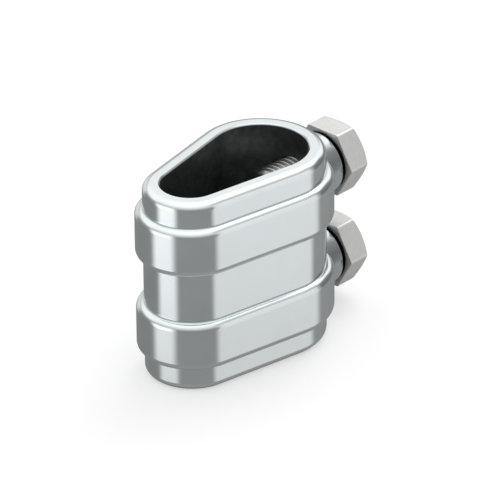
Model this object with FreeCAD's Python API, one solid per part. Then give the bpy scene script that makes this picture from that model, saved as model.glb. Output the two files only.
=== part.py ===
"""Earthing clamp: a cast sleeve, open at both ends, and the two screws that clamp into its hollow.

Millimetres. +Z is up, along the hollow. +X runs from the sleeve's narrow end to its wide
end, where the screws are. The origin lies in the plane of the bottom face, midway along X
between the outer ends of the sleeve and of the screw heads.
"""
import FreeCAD, Part
import math
import os

Vector = FreeCAD.Vector
ORIGIN = Vector(0, 0, 0)
X_AXIS = Vector(1, 0, 0)
Z_AXIS = Vector(0, 0, 1)
TINY = 1e-6
EDGE_TOLERANCE = 1e-4
EDGE_SAMPLES = 7

# Cavity: a narrow and a wide round end, joined by straight sides tangent to both
NARROW_RADIUS = 5.75
WIDE_RADIUS = 9.25
END_SPACING = 19.2

# Sleeve wall
SLEEVE_HEIGHT = 40.0
WALL = 3.35
RIM_ROUND = 1.5
MOUTH_CHAMFER = 0.3

# Two raised bands, each the same distance from its own end of the sleeve
BAND_HEIGHT = 10.0
BAND_INSET = 5.0
BAND_PROUD = 1.5
BAND_ROUND = 1.5

# Round bosses that carry the threads, one on each band, widening from their face to the wall
BOSS_RADIUS = 6.15
BOSS_REACH = 2.8
BOSS_DRAFT = math.radians(9.5)
BOSS_RIM_CHAMFER = 0.3
BOSS_ROOT_ROUND = 0.3

# Clamping screws: hexagon heads on shanks drawn at the crests of the thread
SCREW_RADIUS = 4.0
SCREW_LENGTH = 16.0
TIP_CHAMFER = 0.8
THREAD_CLEARANCE = 0.05
HEAD_ACROSS_FLATS = 13.0
HEAD_HEIGHT = 5.3
HEAD_FACE_RATIO = 0.95
HEAD_CHAMFER_ANGLE = math.radians(30.0)
WASHER_FACE_RADIUS = 5.8
WASHER_FACE_HEIGHT = 0.3
SEAT_GAP = 0.5

# Places along X
band_offset = WALL + BAND_PROUD
boss_length = WIDE_RADIUS + band_offset + BOSS_REACH
narrow_length = NARROW_RADIUS + band_offset
head_length = WASHER_FACE_HEIGHT + HEAD_HEIGHT
total_length = narrow_length + END_SPACING + boss_length + SEAT_GAP + head_length
narrow_x = narrow_length - total_length / 2
wide_x = narrow_x + END_SPACING
boss_face_x = wide_x + boss_length
bearing_x = boss_face_x + SEAT_GAP

# Heights
lower_band_z = BAND_INSET
upper_band_z = SLEEVE_HEIGHT - BAND_INSET - BAND_HEIGHT
screw_heights = {
    "lower_screw": lower_band_z + BAND_HEIGHT / 2,
    "upper_screw": upper_band_z + BAND_HEIGHT / 2,
}

# Lean of the straight sides against the XZ plane, and their length
side_angle = math.asin((WIDE_RADIUS - NARROW_RADIUS) / END_SPACING)
side_degrees = math.degrees(side_angle)
side_length = END_SPACING * math.cos(side_angle)


def rounded_face(corners):
    """Face in the XZ plane from corners (x, z, radius): square ones are rounded, 0 stays sharp."""
    points = [Vector(x, 0, z) for x, z, radius in corners]
    rounds = []
    for index, (x, z, radius) in enumerate(corners):
        corner = points[index]
        to_last = (points[index - 1] - corner).normalize() * radius
        to_next = (points[(index + 1) % len(points)] - corner).normalize() * radius
        middle = corner + (to_last + to_next) * (1 - math.sqrt(0.5))
        rounds.append((corner + to_last, middle, corner + to_next))
    edges = []
    for index, (start, middle, end) in enumerate(rounds):
        last_end = rounds[index - 1][2]
        if last_end.distanceToPoint(start) > TINY:
            edges.append(Part.LineSegment(last_end, start).toShape())
        if start.distanceToPoint(end) > TINY:
            edges.append(Part.Arc(start, middle, end).toShape())
    return Part.Face(Part.Wire(edges))


def wall_section():
    """Cut through the wall: x is the distance out from the cavity, z the height."""
    band_round = min(BAND_ROUND, BAND_PROUD)
    corners = [(0, MOUTH_CHAMFER, 0), (MOUTH_CHAMFER, 0, 0), (WALL, 0, RIM_ROUND)]
    for band_z in (lower_band_z, upper_band_z):
        band_top_z = band_z + BAND_HEIGHT
        corners.append((WALL, band_z, 0))
        corners.append((band_offset, band_z, band_round))
        corners.append((band_offset, band_top_z, band_round))
        corners.append((WALL, band_top_z, 0))
    corners.append((WALL, SLEEVE_HEIGHT, RIM_ROUND))
    corners.append((MOUTH_CHAMFER, SLEEVE_HEIGHT, 0))
    corners.append((0, SLEEVE_HEIGHT - MOUTH_CHAMFER, 0))
    return rounded_face(corners)


def round_end(section, centre_x, radius, first_degrees, sweep_degrees):
    """The section swept round one end of the oval, on the cavity's radius."""
    start = section.translated(X_AXIS * radius).rotated(ORIGIN, Z_AXIS, first_degrees)
    return start.revolve(ORIGIN, Z_AXIS, sweep_degrees).translated(X_AXIS * centre_x)


def straight_side(section, side):
    """The section swept along one straight side: side is -1 at the front, 1 at the back."""
    start = section.translated(X_AXIS * WIDE_RADIUS)
    start = start.rotated(ORIGIN, Z_AXIS, side * (90 + side_degrees))
    run = Vector(-math.cos(side_angle), -side * math.sin(side_angle), 0) * side_length
    return start.translated(X_AXIS * wide_x).extrude(run)


def cavity():
    """Solid of the hollow, used to trim what is added outside it."""
    narrow = Part.makeCylinder(NARROW_RADIUS, SLEEVE_HEIGHT, X_AXIS * narrow_x)
    wide = Part.makeCylinder(WIDE_RADIUS, SLEEVE_HEIGHT, X_AXIS * wide_x)
    tangents = []
    for side in (-1, 1):
        normal = Vector(-math.sin(side_angle), side * math.cos(side_angle), 0)
        tangents.append(X_AXIS * wide_x + normal * WIDE_RADIUS)
        tangents.append(X_AXIS * narrow_x + normal * NARROW_RADIUS)
    front_wide, front_narrow, back_wide, back_narrow = tangents
    outline = Part.makePolygon([front_wide, front_narrow, back_narrow, back_wide, front_wide])
    return Part.Face(outline).extrude(Z_AXIS * SLEEVE_HEIGHT).fuse([narrow, wide])


def along_x(radius, first_x, last_x, z):
    """Cylinder on an axis along X at height z."""
    return Part.makeCylinder(radius, last_x - first_x, Vector(first_x, 0, z), X_AXIS)


def boss_radius(x):
    """Outer radius of a boss at a place along X."""
    return BOSS_RADIUS + (boss_face_x - x) * math.tan(BOSS_DRAFT)


def on_boss(edge, z):
    """True for an edge that lies on the outer cone of the boss at height z."""
    gaps = []
    for point in edge.discretize(EDGE_SAMPLES):
        gaps.append(math.hypot(point.y, point.z - z) - boss_radius(point.x))
    return all(abs(gap) < EDGE_TOLERANCE for gap in gaps)


def add_boss(sleeve, hollow, z):
    """The sleeve with a boss at height z: a fillet where it leaves the wall, a broken rim."""
    start = Vector(wide_x, 0, z)
    cone = Part.makeCone(boss_radius(wide_x), BOSS_RADIUS, boss_length, start, X_AXIS)
    joined = sleeve.fuse(cone.cut(hollow)).removeSplitter()
    edges = [edge for edge in joined.Edges if on_boss(edge, z)]
    rim = [edge for edge in edges if edge.BoundBox.XMin > boss_face_x - EDGE_TOLERANCE]
    root = [edge for edge in edges if edge.BoundBox.XMax < boss_face_x - EDGE_TOLERANCE]
    return joined.makeFillet(BOSS_ROOT_ROUND, root).makeChamfer(BOSS_RIM_CHAMFER, rim)


def make_sleeve():
    """Cast sleeve: banded wall, two bosses, and a hole through each for its screw."""
    section = wall_section()
    narrow_sweep = 180 - 2 * side_degrees
    wide_sweep = 180 + 2 * side_degrees
    pieces = [
        round_end(section, narrow_x, NARROW_RADIUS, 90 + side_degrees, narrow_sweep),
        straight_side(section, -1),
        straight_side(section, 1),
    ]
    wide_end = round_end(section, wide_x, WIDE_RADIUS, -wide_sweep / 2, wide_sweep)
    sleeve = wide_end.fuse(pieces).removeSplitter()
    hollow = cavity()
    for z in screw_heights.values():
        sleeve = add_boss(sleeve, hollow, z)
    for z in screw_heights.values():
        sleeve = sleeve.cut(along_x(SCREW_RADIUS + THREAD_CLEARANCE, wide_x, boss_face_x, z))
    return sleeve


def make_screw(z):
    """Hexagon-head screw with its axis at height z, its head towards +X."""
    underside_x = bearing_x + WASHER_FACE_HEIGHT
    corner_radius = HEAD_ACROSS_FLATS / 2 / math.cos(math.pi / 6)
    corners = []
    for index in range(7):
        angle = index * math.pi / 3
        spoke = Vector(0, math.cos(angle), math.sin(angle)) * corner_radius
        corners.append(Vector(underside_x, 0, z) + spoke)
    hexagon = Part.Face(Part.makePolygon(corners)).extrude(X_AXIS * HEAD_HEIGHT)

    # The cone cuts the hexagon's outer corners, which leaves a curved edge on each flat
    face_radius = HEAD_FACE_RATIO * HEAD_ACROSS_FLATS / 2
    base_radius = face_radius + HEAD_HEIGHT / math.tan(HEAD_CHAMFER_ANGLE)
    underside = Vector(underside_x, 0, z)
    head = hexagon.common(Part.makeCone(base_radius, face_radius, HEAD_HEIGHT, underside, X_AXIS))
    washer_face = along_x(WASHER_FACE_RADIUS, bearing_x, underside_x, z)

    tip_x = bearing_x - SCREW_LENGTH
    shank = along_x(SCREW_RADIUS, tip_x + TIP_CHAMFER, underside_x, z)
    tip_radius = SCREW_RADIUS - TIP_CHAMFER
    tip = Part.makeCone(tip_radius, SCREW_RADIUS, TIP_CHAMFER, Vector(tip_x, 0, z), X_AXIS)
    return head.fuse([washer_face, shank, tip]).removeSplitter()


def main():
    os.makedirs("parts", exist_ok=True)
    make_sleeve().exportStep("parts/sleeve.step")
    for name, z in screw_heights.items():
        make_screw(z).exportStep("parts/" + name + ".step")


main()
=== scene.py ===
import math

import bpy
import numpy as np
from mathutils import Matrix, Vector


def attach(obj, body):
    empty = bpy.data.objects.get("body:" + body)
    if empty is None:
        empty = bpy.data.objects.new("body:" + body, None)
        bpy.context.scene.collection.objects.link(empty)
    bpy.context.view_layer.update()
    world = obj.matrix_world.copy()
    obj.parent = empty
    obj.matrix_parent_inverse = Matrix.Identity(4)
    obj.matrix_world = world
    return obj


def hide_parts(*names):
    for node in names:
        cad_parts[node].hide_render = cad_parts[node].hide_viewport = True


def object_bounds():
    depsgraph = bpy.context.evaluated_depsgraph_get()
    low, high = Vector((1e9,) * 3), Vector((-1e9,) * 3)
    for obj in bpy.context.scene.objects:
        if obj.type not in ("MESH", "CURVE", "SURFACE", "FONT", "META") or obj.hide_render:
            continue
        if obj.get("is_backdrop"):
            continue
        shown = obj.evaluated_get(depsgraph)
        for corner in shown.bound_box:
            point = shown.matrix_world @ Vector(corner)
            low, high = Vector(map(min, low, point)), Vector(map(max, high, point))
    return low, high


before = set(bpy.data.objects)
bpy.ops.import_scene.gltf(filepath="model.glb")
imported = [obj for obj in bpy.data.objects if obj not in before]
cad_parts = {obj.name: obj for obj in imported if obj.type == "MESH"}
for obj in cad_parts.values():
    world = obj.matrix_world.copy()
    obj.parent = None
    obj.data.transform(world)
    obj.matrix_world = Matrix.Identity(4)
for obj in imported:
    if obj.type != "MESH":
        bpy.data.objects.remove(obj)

start_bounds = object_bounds()
MM = 0.001
QUARTER = math.pi / 2
SIXTH = math.pi / 6

# Hollow of the sleeve, in millimetres: a narrow and a wide round end
NARROW_X, NARROW_RADIUS = -15.8, 5.75
WIDE_X, WIDE_RADIUS = 3.4, 9.25
SLEEVE_HEIGHT = 40.0

# Screws, in millimetres: the same outer sizes as the CAD screws
SCREW_HEIGHTS = {"lower_screw": 10.0, "upper_screw": 30.0}
BEARING_X = 20.8
BEARING_SHY = 0.005
WASHER_HEIGHT = 0.3
WASHER_RADIUS = 5.8
HEAD_HEIGHT = 5.3
INNER_RADIUS = 6.5
FACE_RADIUS = 0.95 * INNER_RADIUS
UNDERSIDE_X = BEARING_X + WASHER_HEIGHT
TOP_X = UNDERSIDE_X + HEAD_HEIGHT
TIP_X = BEARING_X - 16.0
TIP_CHAMFER = 0.8
CHAMFER_SLOPE = math.tan(math.radians(30.0))

# Thread, in millimetres: M8, with its run-out to a plain neck under the head
CREST = 4.0
ROOT = 3.28
PITCH = 1.25
CREST_SHARE = 0.16
CREST_SOFTNESS = 0.06
NECK_RADIUS = 3.86
RUNOUT_X = UNDERSIDE_X - 2.2
THREAD_END_X = UNDERSIDE_X - 0.9
THREAD_RINGS = 232
RING_POINTS = 288

# Softened edges of the screws, in millimetres
CORNER_ROUND = 0.35
EDGE_ROUND = 0.14
NECK_ROUND = 0.15
WASHER_ROUND = 0.1
FACE_ROUND = 0.12
CHAMFER_INSET = 0.1
ROUND_STEPS = np.linspace(0.0, 1.0, 5)

# Rings on the other parts of the screws: radii in millimetres, shares of the way, counts
TIP_RINGS = (0.6, 1.4, 2.2)
BEARING_INNER, BEARING_RINGS = 4.3, 6
UNDERSIDE_SHARES = np.linspace(0.1, 1.0, 5)
SIDE_MARGIN = 0.6 * EDGE_ROUND
SIDE_SHARES = np.linspace(0.0, 1.0, 7)[1:-1]
CHAMFER_TURNS = 6
CHAMFER_SHARES = np.linspace(0.0, 1.0, 6)[1:-1]
FACE_OUTER, FACE_INNER, FACE_RINGS = FACE_RADIUS - 0.4, 0.8, 8

# Finish of both metals, with painted shade in crevices: sizes in millimetres, scales in waves per
# metre, tones as factors
NOISE_LOW, NOISE_HIGH = 0.3, 0.7
PATCH_SCALE = 130.0
PATCH_STOPS = (0.30, 0.50, 0.72)
PATCH_DARK, PATCH_LIGHT = 0.965, 1.02
PATCH_SMOOTH, PATCH_ROUGH = 0.85, 1.2
SPECK_SCALE = 1100.0
# Painted shade in crevices, against how open the surface is
CREVICE_SHADE_TONES = [(0.10, 0.02), (0.42, 0.45), (0.72, 1.0)]
CREVICE_SAMPLES = 8
DENT_DEPTH, DENT_STRENGTH = 0.1, 0.10
GRAIN_DEPTH = 0.02

# Finish of the casting: painted shade from foot to rim, a rougher hollow with painted shade, and
# threads in the two bores
HEIGHT_SHADE_TONES = [(0.0, 0.92), (0.45, 0.963), (1.0, 1.0)]
HOLLOW_FADE_START, HOLLOW_FADE_END = 0.05, 0.18
HOLLOW_SHADE = 0.76
HOLLOW_ROUGHNESS = 0.38
SKIN_SCALE = 750.0
SKIN_DEPTH, SKIN_STRENGTH = 0.08, 0.5
SKIN_LOW, SKIN_HIGH, SKIN_LIGHT = 0.35, 0.75, 1.6
BORE_REACH = 4.2
BORE_START_X = 10.0
BORE_THREAD_DEPTH = 1.2

# Finish of the screws: painted highlight on the corners, turned outer face, threads with painted
# shade, painted shade under the head and a painted shadow in the gap under it
EDGE_HIGHLIGHT_START, EDGE_HIGHLIGHT_END, EDGE_HIGHLIGHT_SHARE = 7.28, 7.43, 0.38
EDGE_HIGHLIGHT_COLOUR = (0.90, 0.89, 0.87, 1.0)
FACE_MARGIN = 0.1
TURNING_PITCH, TURNING_DEPTH, TURNING_STRENGTH = 0.42, 0.006, 0.5
# Painted shade on the threaded shank's colour
THREAD_SHADE_COLOUR = (0.42, 0.418, 0.41, 1.0)
THREAD_ROUGHNESS = 0.27
# Painted shade under the head: its reach in x, colour and share
BEARING_BEFORE, BEARING_AFTER = 0.3, 0.05
BEARING_SHADE_COLOUR = (0.10, 0.10, 0.098, 1.0)
BEARING_SHADE_SHARE = 0.36
RIM_FADE_START, RIM_FADE_END = 0.12, 0.05
# Painted shadow in the gap under the head: its reach, colour and how it follows the gap
GAP_SHADOW_FADE_START, GAP_SHADOW_FADE_END = 0.03, 0.2
GAP_REACH, GAP_SAMPLES = 2.5, 16
GAP_CLOSED, GAP_OPEN = 0.45, 0.62
GAP_SHADOW_COLOUR = (0.004, 0.004, 0.004, 1.0)

# Sockets of the Mix node: its factor, and two inputs and the result for numbers and colours
MIX_FACTOR = 0
MIX_NUMBERS = (2, 3, 0)
MIX_COLOURS = (6, 7, 2)

WHITE = (1.0, 1.0, 1.0, 1.0)


def grid_mesh(name, rings):
    """Closed, smooth mesh from rings of points in millimetres, wound round, with flat ends."""
    rings = np.asarray(rings, float) * MM
    count, width, _ = rings.shape
    verts = list(map(tuple, rings.reshape(-1, 3)))
    faces = []
    for i in range(count - 1):
        for j in range(width):
            k = (j + 1) % width
            here, there = i * width, (i + 1) * width
            faces.append((here + j, here + k, there + k, there + j))
    for row in (0, count - 1):
        centre = len(verts)
        verts.append(tuple(rings[row].mean(axis=0)))
        for j in range(width):
            a, b = row * width + j, row * width + (j + 1) % width
            faces.append((centre, b, a) if row == 0 else (centre, a, b))
    mesh = bpy.data.meshes.new(name)
    mesh.from_pydata(verts, [], faces)
    mesh.validate()
    mesh.shade_smooth()
    obj = bpy.data.objects.new(name, mesh)
    bpy.context.scene.collection.objects.link(obj)
    return obj


def hexagon_radius(angles):
    """Radius of a hexagon with rounded corners at each angle; two corners lie along Y."""
    turned = angles % (2 * SIXTH) - SIXTH
    away = SIXTH - np.abs(turned)
    centre = (INNER_RADIUS - CORNER_ROUND) / math.cos(SIXTH)
    touch_y, touch_x = CORNER_ROUND * math.sin(SIXTH), centre + CORNER_ROUND * math.cos(SIXTH)
    inside = CORNER_ROUND ** 2 - (centre * np.sin(away)) ** 2
    rounded = centre * np.cos(away) + np.sqrt(np.maximum(inside, 0.0))
    return np.where(away < math.atan2(touch_y, touch_x), rounded, INNER_RADIUS / np.cos(turned))


def thread_radius(phase):
    """Rounded 60 degree thread: radius at a phase of 0 to 1 along the pitch."""
    flank = np.abs(phase % 1.0 - 0.5) * 2
    rise = np.clip((flank - CREST_SHARE) / (1 - 2 * CREST_SHARE), 0.0, 1.0)
    soft = np.clip(rise - CREST_SOFTNESS * np.sin(2 * math.pi * rise), 0.0, 1.0)
    return ROOT + (CREST - ROOT) * soft


def thread_outline(angles):
    """Tip and thread of a screw, as (x, radius) of each ring."""
    outline = [(TIP_X, radius) for radius in TIP_RINGS]
    for x in np.linspace(TIP_X, THREAD_END_X, THREAD_RINGS):
        radius = thread_radius(x / PITCH - angles / (2 * math.pi))
        blend = np.clip(x - RUNOUT_X, 0.0, 1.0)
        radius = radius * (1 - blend) + NECK_RADIUS * blend
        outline.append((x, np.minimum(radius, CREST - TIP_CHAMFER + x - TIP_X)))
    return outline


def neck_outline():
    """Neck narrower than the bore, bearing face just shy of the CAD one, washer face's rim."""
    face_x = BEARING_X + BEARING_SHY
    outline = []
    for step in ROUND_STEPS * QUARTER:
        x = face_x - NECK_ROUND * (1 - math.sin(step))
        outline.append((x, NECK_RADIUS + NECK_ROUND * (1 - math.cos(step))))
    rim_radius = WASHER_RADIUS - WASHER_ROUND
    for radius in np.linspace(BEARING_INNER, rim_radius, BEARING_RINGS):
        outline.append((face_x, radius))
    for step in ROUND_STEPS[1:] * QUARTER:
        x = face_x + WASHER_ROUND * (1 - math.cos(step))
        outline.append((x, rim_radius + WASHER_ROUND * math.sin(step)))
    outline.append((UNDERSIDE_X, WASHER_RADIUS))
    return outline


def head_outline(hexagon):
    """Underside, sides, chamfer and outer face of the head, from the hexagon's radii."""
    outline = []
    for share in UNDERSIDE_SHARES:
        reach = (hexagon - EDGE_ROUND - WASHER_RADIUS) * share
        outline.append((UNDERSIDE_X, WASHER_RADIUS + reach))
    for step in ROUND_STEPS[1:] * QUARTER:
        x = UNDERSIDE_X + EDGE_ROUND * (1 - math.cos(step))
        outline.append((x, hexagon - EDGE_ROUND * (1 - math.sin(step))))

    # The chamfer is a cone, so it meets each flat in a curve
    edge_x = TOP_X - (hexagon - FACE_RADIUS) * CHAMFER_SLOPE
    lowest, highest = UNDERSIDE_X + EDGE_ROUND, edge_x - SIDE_MARGIN
    for share in SIDE_SHARES:
        outline.append((lowest + (highest - lowest) * share, hexagon))
    turn = QUARTER - math.atan(CHAMFER_SLOPE)
    start_x = edge_x - EDGE_ROUND * math.tan(turn / 2)
    for step in np.linspace(0, turn, CHAMFER_TURNS):
        x = start_x + EDGE_ROUND * math.sin(step)
        outline.append((x, hexagon - EDGE_ROUND * (1 - math.cos(step))))
    outer = hexagon - CHAMFER_INSET
    for share in CHAMFER_SHARES:
        radius = outer + (FACE_RADIUS + FACE_ROUND - outer) * share
        outline.append((TOP_X - (radius - FACE_RADIUS) * CHAMFER_SLOPE, radius))
    for step in ROUND_STEPS:
        drop = FACE_ROUND * CHAMFER_SLOPE * (1 - step) ** 2
        outline.append((TOP_X - drop, FACE_RADIUS + FACE_ROUND * (1 - 2 * step)))
    for radius in np.linspace(FACE_OUTER, FACE_INNER, FACE_RINGS):
        outline.append((TOP_X, radius))
    return outline


def make_screw(name, z):
    """Threaded hexagon-head screw with its axis along X at height z."""
    angles = np.arange(RING_POINTS) * 2 * math.pi / RING_POINTS
    outline = thread_outline(angles) + neck_outline() + head_outline(hexagon_radius(angles))
    rings = []
    for x, radius in outline:
        y, rise = radius * np.cos(angles), radius * np.sin(angles)
        rings.append(np.stack([np.broadcast_to(x, angles.shape), y, z + rise], axis=1))
    return grid_mesh(name + "_threaded", rings)


# Node helpers

def new_material(name):
    material = bpy.data.materials.new(name)
    material.use_nodes = True
    tree = material.node_tree
    return material, tree, tree.nodes["Principled BSDF"]


def calculate(tree, operation, *values):
    """One sum on numbers and sockets."""
    made = tree.nodes.new("ShaderNodeMath")
    made.operation = operation
    for socket, value in zip(made.inputs, values):
        if isinstance(value, (int, float)):
            socket.default_value = value
        else:
            tree.links.new(value, socket)
    return made.outputs[0]


def change(tree, value, first, last, start=0.0, end=1.0, kind="LINEAR"):
    """A number that is start up to first, end from last on, and changes between them."""
    made = tree.nodes.new("ShaderNodeMapRange")
    made.interpolation_type = kind
    tree.links.new(value, made.inputs["Value"])
    limits = {"From Min": first, "From Max": last, "To Min": start, "To Max": end}
    for socket, limit in limits.items():
        made.inputs[socket].default_value = limit
    return made.outputs["Result"]


def ramp(tree, source, stops):
    """Colour or grey against a value from 0 to 1."""
    made = tree.nodes.new("ShaderNodeValToRGB")
    tree.links.new(source, made.inputs["Fac"])
    elements = made.color_ramp.elements
    while len(elements) < len(stops):
        elements.new(0.5)
    for element, (position, value) in zip(elements, stops):
        element.position = position
        if isinstance(value, (int, float)):
            value = (value, value, value)
        element.color = (*value, 1.0)
    return made.outputs["Color"]


def noise(tree, vector, scale, detail, roughness):
    made = tree.nodes.new("ShaderNodeTexNoise")
    tree.links.new(vector, made.inputs["Vector"])
    made.inputs["Scale"].default_value = scale
    made.inputs["Detail"].default_value = detail
    made.inputs["Roughness"].default_value = roughness
    return made.outputs["Fac"]


def axes(tree):
    """X, Y and Z of the place on the part, in metres."""
    place = tree.nodes.new("ShaderNodeTexCoord")
    split = tree.nodes.new("ShaderNodeSeparateXYZ")
    tree.links.new(place.outputs["Object"], split.inputs["Vector"])
    return split.outputs


def openness(tree, distance, samples):
    """1 on an open surface, less where another is closer than the distance."""
    made = tree.nodes.new("ShaderNodeAmbientOcclusion")
    made.samples = samples
    made.inputs["Distance"].default_value = distance
    return made.outputs["AO"]


def length(tree, first, second):
    """Length of a vector from its two parts."""
    squares = [calculate(tree, "MULTIPLY", part, part) for part in (first, second)]
    return calculate(tree, "SQRT", calculate(tree, "ADD", *squares))


def both(tree, first, second):
    return calculate(tree, "MULTIPLY", first, second)


def overlay(material, name, mask, value):
    """Brings an input of the shader to a value where the mask is 1."""
    tree = material.node_tree
    socket = tree.nodes["Principled BSDF"].inputs[name]
    mixed = tree.nodes.new("ShaderNodeMix")
    first, second, result = MIX_NUMBERS
    if name == "Base Color":
        mixed.data_type = "RGBA"
        first, second, result = MIX_COLOURS
    tree.links.new(mask, mixed.inputs[MIX_FACTOR])
    if socket.links:
        tree.links.new(socket.links[0].from_socket, mixed.inputs[first])
    else:
        mixed.inputs[first].default_value = socket.default_value
    mixed.inputs[second].default_value = value
    tree.links.new(mixed.outputs[result], socket)


def tint(material, tone):
    """Multiplies the base colour by a tone."""
    tree = material.node_tree
    socket = tree.nodes["Principled BSDF"].inputs["Base Color"]
    mixed = tree.nodes.new("ShaderNodeMix")
    mixed.data_type = "RGBA"
    mixed.blend_type = "MULTIPLY"
    mixed.inputs[MIX_FACTOR].default_value = 1.0
    first, second, result = MIX_COLOURS
    tree.links.new(socket.links[0].from_socket, mixed.inputs[first])
    tree.links.new(tone, mixed.inputs[second])
    tree.links.new(mixed.outputs[result], socket)


def raise_surface(material, height, distance, strength):
    """Adds relief to the shader's normal; the strength is a number or a mask."""
    tree = material.node_tree
    socket = tree.nodes["Principled BSDF"].inputs["Normal"]
    bump = tree.nodes.new("ShaderNodeBump")
    bump.inputs["Distance"].default_value = distance
    if isinstance(strength, (int, float)):
        bump.inputs["Strength"].default_value = strength
    else:
        tree.links.new(strength, bump.inputs["Strength"])
    tree.links.new(height, bump.inputs["Height"])
    if socket.links:
        tree.links.new(socket.links[0].from_socket, bump.inputs["Normal"])
    tree.links.new(bump.outputs["Normal"], socket)


def plain_view(tree):
    """Outputs of the light path, and 1 for what is seen straight or through glass."""
    path = tree.nodes.new("ShaderNodeLightPath").outputs
    return path, calculate(tree, "MAXIMUM", path["Is Camera Ray"], path["Is Transmission Ray"])


# Metals

def metal(name, colour, roughness, metallic, grain, relief, dents, mottle, offset, crevice):
    """Bare metal: fine grain, slow waves, tone and roughness in patches, and painted shade that
    darkens the colour in crevices.
    """
    material, tree, shader = new_material(name)
    place = tree.nodes.new("ShaderNodeTexCoord")
    shifted = tree.nodes.new("ShaderNodeMapping")
    shifted.inputs["Location"].default_value = offset
    tree.links.new(place.outputs["Object"], shifted.inputs["Vector"])
    vector = shifted.outputs["Vector"]
    patch = noise(tree, vector, PATCH_SCALE, detail=5.0, roughness=0.62)
    dark = tuple(part * PATCH_DARK for part in colour)
    light = tuple(min(part * PATCH_LIGHT, 1.0) for part in colour)
    tone = ramp(tree, patch, list(zip(PATCH_STOPS, (dark, colour, light))))
    tree.links.new(tone, shader.inputs["Base Color"])
    speck = noise(tree, vector, SPECK_SCALE, detail=4.0, roughness=0.6)
    tint(material, change(tree, speck, NOISE_LOW, NOISE_HIGH, 1 - mottle, 1.0))
    # Painted shade: the colour is darkened where other surfaces are close, as in crevices
    tint(material, ramp(tree, openness(tree, crevice, CREVICE_SAMPLES), CREVICE_SHADE_TONES))
    smooth, rough = roughness * PATCH_SMOOTH, roughness * PATCH_ROUGH
    uneven = change(tree, patch, NOISE_LOW, NOISE_HIGH, smooth, rough)
    tree.links.new(uneven, shader.inputs["Roughness"])
    shader.inputs["Metallic"].default_value = metallic
    waves = noise(tree, vector, dents, detail=3.0, roughness=0.5)
    raise_surface(material, waves, DENT_DEPTH * MM, DENT_STRENGTH)
    pits = noise(tree, vector, grain, detail=6.0, roughness=0.6)
    raise_surface(material, pits, GRAIN_DEPTH * MM, relief)
    return material


def hollow_mask(tree):
    """1 in the sleeve's hollow and on its wall, 0 outside, from the distance to its oval."""
    x, y, _ = axes(tree)
    run, growth = (WIDE_X - NARROW_X) * MM, (WIDE_RADIUS - NARROW_RADIUS) * MM
    slant = growth / math.sqrt(run ** 2 - growth ** 2)
    across = calculate(tree, "ABSOLUTE", y)
    along = calculate(tree, "SUBTRACT", x, NARROW_X * MM)
    along = calculate(tree, "MULTIPLY_ADD", across, slant, along)
    share = change(tree, along, 0.0, run)
    centre = calculate(tree, "MULTIPLY_ADD", share, run, NARROW_X * MM)
    radius = calculate(tree, "MULTIPLY_ADD", share, growth, NARROW_RADIUS * MM)
    distance = length(tree, calculate(tree, "SUBTRACT", x, centre), across)
    gap = calculate(tree, "SUBTRACT", distance, radius)
    return change(tree, gap, HOLLOW_FADE_START * MM, HOLLOW_FADE_END * MM, 1.0, 0.0)


def screw_distance(tree, y, z):
    """Distance to the nearer screw axis."""
    heights = [calculate(tree, "SUBTRACT", z, height * MM) for height in SCREW_HEIGHTS.values()]
    rises = [calculate(tree, "ABSOLUTE", height) for height in heights]
    return length(tree, y, calculate(tree, "MINIMUM", *rises))


def finish_casting(material):
    """Painted shade darker towards the foot, a rougher hollow with painted shade, and screw
    threads in the two bores.
    """
    tree = material.node_tree
    x, y, z = axes(tree)
    height = change(tree, z, 0.0, SLEEVE_HEIGHT * MM)
    # Painted shade: the colour darkens towards the foot
    tint(material, ramp(tree, height, HEIGHT_SHADE_TONES))
    hollow = hollow_mask(tree)
    # Painted shade: the colour in the hollow is darkened, as little light gets in
    tint(material, calculate(tree, "MULTIPLY_ADD", hollow, -HOLLOW_SHADE, 1.0))
    overlay(material, "Roughness", hollow, HOLLOW_ROUGHNESS)
    place = tree.nodes.new("ShaderNodeTexCoord")
    skin = noise(tree, place.outputs["Object"], SKIN_SCALE, detail=4.0, roughness=0.6)
    tint(material, change(tree, both(tree, hollow, skin), SKIN_LOW, SKIN_HIGH, 1.0, SKIN_LIGHT))
    raise_surface(material, skin, SKIN_DEPTH * MM, both(tree, hollow, SKIN_STRENGTH))

    middle = sum(SCREW_HEIGHTS.values()) / 2
    apart = SCREW_HEIGHTS["upper_screw"] - SCREW_HEIGHTS["lower_screw"]
    upper = calculate(tree, "GREATER_THAN", z, middle * MM)
    rise = calculate(tree, "SUBTRACT", z, SCREW_HEIGHTS["lower_screw"] * MM)
    rise = calculate(tree, "MULTIPLY_ADD", upper, -apart * MM, rise)
    turn = calculate(tree, "DIVIDE", calculate(tree, "ARCTAN2", rise, y), 2 * math.pi)
    phase = calculate(tree, "SUBTRACT", calculate(tree, "DIVIDE", x, PITCH * MM), turn)
    in_bore = calculate(tree, "LESS_THAN", length(tree, rise, y), BORE_REACH * MM)
    in_boss = calculate(tree, "GREATER_THAN", x, BORE_START_X * MM)
    ridge = calculate(tree, "PINGPONG", phase, 0.5)
    raise_surface(material, ridge, BORE_THREAD_DEPTH * MM, both(tree, in_bore, in_boss))


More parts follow.
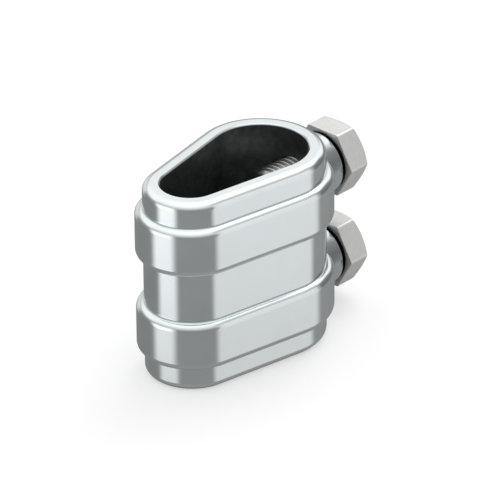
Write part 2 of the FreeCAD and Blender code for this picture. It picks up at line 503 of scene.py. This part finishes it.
def finish_screw(material):
    """Painted highlight on the corners, turned rings on the outer face, darker threads with
    painted shade, painted shade under the head, a painted black shadow in the gap at the bearing.
    """
    tree = material.node_tree
    x, y, z = axes(tree)
    distance = screw_distance(tree, y, z)
    # Painted highlight: the corners of the head are lighter
    corner = change(tree, distance, EDGE_HIGHLIGHT_START * MM, EDGE_HIGHLIGHT_END * MM, 0.0, EDGE_HIGHLIGHT_SHARE)
    overlay(material, "Base Color", corner, EDGE_HIGHLIGHT_COLOUR)

    outer = calculate(tree, "GREATER_THAN", x, (TOP_X - FACE_MARGIN) * MM)
    turns = calculate(tree, "MULTIPLY", distance, 2 * math.pi / (TURNING_PITCH * MM))
    ring = calculate(tree, "SINE", turns)
    raise_surface(material, ring, TURNING_DEPTH * MM, both(tree, outer, TURNING_STRENGTH))

    shank = calculate(tree, "LESS_THAN", x, (BEARING_X - FACE_MARGIN) * MM)
    # Painted shade: the threaded shank's colour is darkened; it is also fully metallic and
    # smoother
    overlay(material, "Base Color", shank, THREAD_SHADE_COLOUR)
    overlay(material, "Metallic", shank, 1.0)
    overlay(material, "Roughness", shank, THREAD_ROUGHNESS)

    after = calculate(tree, "GREATER_THAN", x, (BEARING_X - BEARING_BEFORE) * MM)
    before = calculate(tree, "LESS_THAN", x, (UNDERSIDE_X + BEARING_AFTER) * MM)
    bearing = both(tree, after, before)
    # Painted shade: the bearing face and the underside of the head are darkened
    overlay(material, "Base Color", both(tree, bearing, BEARING_SHADE_SHARE), BEARING_SHADE_COLOUR)

    # Painted shadow: the washer face's rim is painted black, and all of it while the gap is
    # closed
    start, end = WASHER_RADIUS - RIM_FADE_START, WASHER_RADIUS - RIM_FADE_END
    rim = change(tree, distance, start * MM, end * MM)
    opened = openness(tree, GAP_REACH * MM, GAP_SAMPLES)
    closed = change(tree, opened, GAP_CLOSED, GAP_OPEN, 1.0, 0.0)
    start, end = WASHER_RADIUS + GAP_SHADOW_FADE_START, WASHER_RADIUS + GAP_SHADOW_FADE_END
    gap_shadow = change(tree, distance, start * MM, end * MM, 1.0, 0.0)
    gap_shadow = both(tree, both(tree, bearing, gap_shadow), calculate(tree, "MAXIMUM", rim, closed))
    overlay(material, "Base Color", gap_shadow, GAP_SHADOW_COLOUR)
    overlay(material, "Metallic", gap_shadow, 1.0)


zinc = metal(
    "cast_zinc", colour=(0.862, 0.914, 0.923), roughness=0.13, metallic=1.0, grain=2600.0,
    relief=0.12, dents=90.0, mottle=0.0, offset=(1.3, 0.481, -0.793), crevice=1.2 * MM,
)
finish_casting(zinc)
steel = metal(
    "steel", colour=(0.680, 0.678, 0.660), roughness=0.43, metallic=0.58, grain=3400.0,
    relief=0.35, dents=260.0, mottle=0.08, offset=(4.1, 1.517, -2.501), crevice=0.9 * MM,
)
finish_screw(steel)

# Screws
for name, z in SCREW_HEIGHTS.items():
    screw = make_screw(name, z)
    screw.data.materials.append(steel)
    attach(screw, name)
    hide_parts(name)

# Sleeve
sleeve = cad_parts["sleeve"]
for slot in sleeve.material_slots:
    slot.material = zinc

# Floor: matt and nearly white. Reflections look through it to the studio below.
FLOOR_SIZE = 3.0
FLOOR_ROUGHNESS = 0.8
FLOOR_GLOW = 0.55
bpy.ops.mesh.primitive_plane_add(size=FLOOR_SIZE, location=(0, 0, 0))
floor = bpy.context.active_object
floor.name = "floor"
material, tree, shader = new_material("pale_floor")
shader.inputs["Base Color"].default_value = WHITE
shader.inputs["Roughness"].default_value = FLOOR_ROUGHNESS
shader.inputs["Specular IOR Level"].default_value = 0.0
glow = tree.nodes.new("ShaderNodeEmission")
path, seen = plain_view(tree)
shown = tree.nodes.new("ShaderNodeMixShader")
tree.links.new(calculate(tree, "MULTIPLY", seen, FLOOR_GLOW), shown.inputs["Fac"])
tree.links.new(shader.outputs["BSDF"], shown.inputs[1])
tree.links.new(glow.outputs["Emission"], shown.inputs[2])
clear = tree.nodes.new("ShaderNodeBsdfTransparent")
through = tree.nodes.new("ShaderNodeMixShader")
tree.links.new(path["Is Glossy Ray"], through.inputs["Fac"])
tree.links.new(shown.outputs["Shader"], through.inputs[1])
tree.links.new(clear.outputs["BSDF"], through.inputs[2])
tree.links.new(through.outputs["Shader"], tree.nodes["Material Output"].inputs["Surface"])
floor.data.materials.append(material)
floor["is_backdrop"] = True

# Studio: soft light from above, light walls low down, grey between them
world = bpy.data.worlds.new("studio")
bpy.context.scene.world = world
world.use_nodes = True
sky = world.node_tree
sky.nodes.clear()
place = sky.nodes.new("ShaderNodeTexCoord")
split = sky.nodes.new("ShaderNodeSeparateXYZ")
sky.links.new(place.outputs["Generated"], split.inputs["Vector"])
east, north, rise = split.outputs
elevation = calculate(sky, "DEGREES", calculate(sky, "ARCSINE", rise))
WALL_SOFTNESS = 4.0


def off_azimuth(centre):
    """How many degrees the direction lies from an azimuth, to either side."""
    cosine, sine = math.cos(math.radians(centre)), math.sin(math.radians(centre))
    ahead = calculate(sky, "MULTIPLY_ADD", east, cosine, calculate(sky, "MULTIPLY", north, sine))
    aside = calculate(sky, "MULTIPLY_ADD", north, cosine, calculate(sky, "MULTIPLY", east, -sine))
    turned = calculate(sky, "ABSOLUTE", calculate(sky, "ARCTAN2", aside, ahead))
    return calculate(sky, "DEGREES", turned)


def below(value, edge, soft):
    """1 below the edge, 0 above it, with a smooth change over soft on either side."""
    return change(sky, value, edge - soft, edge + soft, 1.0, 0.0, "SMOOTHSTEP")


def above(value, edge, soft):
    return change(sky, value, edge - soft, edge + soft, 0.0, 1.0, "SMOOTHSTEP")


def level(stops):
    """Brightness against elevation, from (degrees, value) stops."""
    share = change(sky, elevation, -90.0, 90.0)
    return ramp(sky, share, [((degrees + 90) / 180, value) for degrees, value in stops])


def blend(share, first, second):
    difference = calculate(sky, "SUBTRACT", second, first)
    return calculate(sky, "MULTIPLY_ADD", share, difference, first)


def sector(under, centre, half_width, soft, stops):
    """Replaces what is under it in a sector of azimuth."""
    return blend(below(off_azimuth(centre), half_width, soft), under, level(stops))


def wall(under, centre, half_width, soft, low, high, stops):
    """Adds a light wall to what is under it: edges in degrees of azimuth and elevation."""
    inside = below(off_azimuth(centre), half_width, soft)
    inside = both(sky, inside, above(elevation, low, WALL_SOFTNESS))
    inside = both(sky, inside, below(elevation, high, WALL_SOFTNESS))
    return blend(inside, under, level(stops))


# Brightness against elevation in degrees, all round and in sectors of azimuth
GENERAL = [
    (-40, 0.31), (-31, 0.295), (-28, 0.27), (0, 0.28), (10, 0.36),
    (26, 0.66), (44, 0.90), (56, 1.1), (80, 1.15),
]
BEHIND = [
    (-60, 0.27), (-20, 0.235), (0, 0.24), (14, 0.36), (22, 0.50),
    (29, 1.02), (47, 1.05), (66, 1.1), (80, 1.1),
]
BESIDE = [
    (-60, 0.30), (-20, 0.27), (5, 0.25), (10, 0.42),
    (17, 1.05), (47, 1.05), (80, 1.15),
]
RIGHT_END = [
    (-60, 0.30), (-24, 0.295), (-14, 0.21), (-6, 0.17), (4, 0.155),
    (24, 0.24), (28, 0.31), (32, 0.72), (36, 1.1), (80, 1.15),
]

# Centre, half width and softness in azimuth, then the brightness
SECTORS = [
    (75.0, 56.0, 12.0, BEHIND),
    (12.0, 17.0, 7.0, BESIDE),
    (-24.0, 24.0, 10.0, RIGHT_END),
]

# The same with the lower and the upper edge before the brightness
WALLS = [
    (72.0, 18.0, 10.0, -19.0, 20.0, [(-20, 0.55), (10, 0.80)]),
    (163.75, 23.25, 9.0, -34.0, 14.0, [(-32, 0.40), (-28, 1.32), (-20, 1.25), (30, 1.05)]),
    (-58.5, 23.5, 8.0, -38.0, -18.0, [(-33, 0.58), (-28, 0.85), (-20, 0.83)]),
    (-61.5, 20.5, 8.0, -26.0, 29.0, [(-28, 0.83), (30, 0.87)]),
    (-54.0, 30.0, 6.0, 29.0, 48.0, [(30, 0.56), (48, 0.62)]),
]
lit = level(GENERAL)
for values in SECTORS:
    lit = sector(lit, *values)
for values in WALLS:
    lit = wall(lit, *values)

light = sky.nodes.new("ShaderNodeBackground")
sky.links.new(lit, light.inputs["Color"])
backdrop = sky.nodes.new("ShaderNodeBackground")
backdrop.inputs["Color"].default_value = WHITE
_, seen = plain_view(sky)
mix = sky.nodes.new("ShaderNodeMixShader")
sky.links.new(seen, mix.inputs["Fac"])
sky.links.new(light.outputs["Background"], mix.inputs[1])
sky.links.new(backdrop.outputs["Background"], mix.inputs[2])
out = sky.nodes.new("ShaderNodeOutputWorld")
sky.links.new(mix.outputs["Shader"], out.inputs["Surface"])

# Large soft lamp above the heads of the screws, in metres and watts
LAMP_SIZE = 0.5
LAMP_POWER = 2.2
LAMP_PLACE = Vector((0.46, 0.10, 0.78))
LAMP_TARGET = Vector((0.0, 0.0, 0.02))
lamp_data = bpy.data.lights.new("key", "AREA")
lamp_data.size = LAMP_SIZE
lamp_data.energy = LAMP_POWER
lamp = bpy.data.objects.new("key", lamp_data)
lamp.location = LAMP_PLACE
lamp.rotation_euler = (LAMP_TARGET - LAMP_PLACE).to_track_quat("-Z", "Y").to_euler()
lamp.visible_camera = False
bpy.context.scene.collection.objects.link(lamp)

# Camera, with the photo's perspective: distances in millimetres, picture sizes in pixels,
# clipping in metres
AZIMUTH = math.radians(46.788)
ELEVATION = math.radians(29.252)
ROLL = math.radians(-0.630)
DISTANCE = 1133.7
FOCAL = 5976.0
CENTRE_COLUMN, CENTRE_ROW = 226.30, 262.36
PICTURE = 500.0
SENSOR = 36.0
AIM = Vector((-6.2, 0.0, 18.9))
NEAREST, FARTHEST = 0.01, 20.0
forward = Vector((
    math.sin(AZIMUTH) * math.cos(ELEVATION),
    math.cos(AZIMUTH) * math.cos(ELEVATION),
    -math.sin(ELEVATION),
))
right = Vector((math.cos(AZIMUTH), -math.sin(AZIMUTH), 0.0))
up = right.cross(forward)
rolled_right = right * math.cos(ROLL) + up * math.sin(ROLL)
rolled_up = up * math.cos(ROLL) - right * math.sin(ROLL)
camera_data = bpy.data.cameras.new("camera")
camera_data.sensor_width = SENSOR
camera_data.lens = FOCAL / PICTURE * SENSOR
camera_data.shift_x = 0.5 - CENTRE_COLUMN / PICTURE
camera_data.shift_y = CENTRE_ROW / PICTURE - 0.5
camera_data.clip_start = NEAREST
camera_data.clip_end = FARTHEST
camera = bpy.data.objects.new("camera", camera_data)
turn = Matrix((rolled_right, rolled_up, -forward)).transposed().to_4x4()
camera.matrix_world = Matrix.Translation((AIM - forward * DISTANCE) * MM) @ turn
bpy.context.scene.collection.objects.link(camera)
bpy.context.scene.camera = camera
bpy.context.scene.view_settings.view_transform = "Standard"

end_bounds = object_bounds()
sizes = {"start": start_bounds, "end": end_bounds}
sizes = {key: [list(corner) for corner in bounds] for key, bounds in sizes.items()}
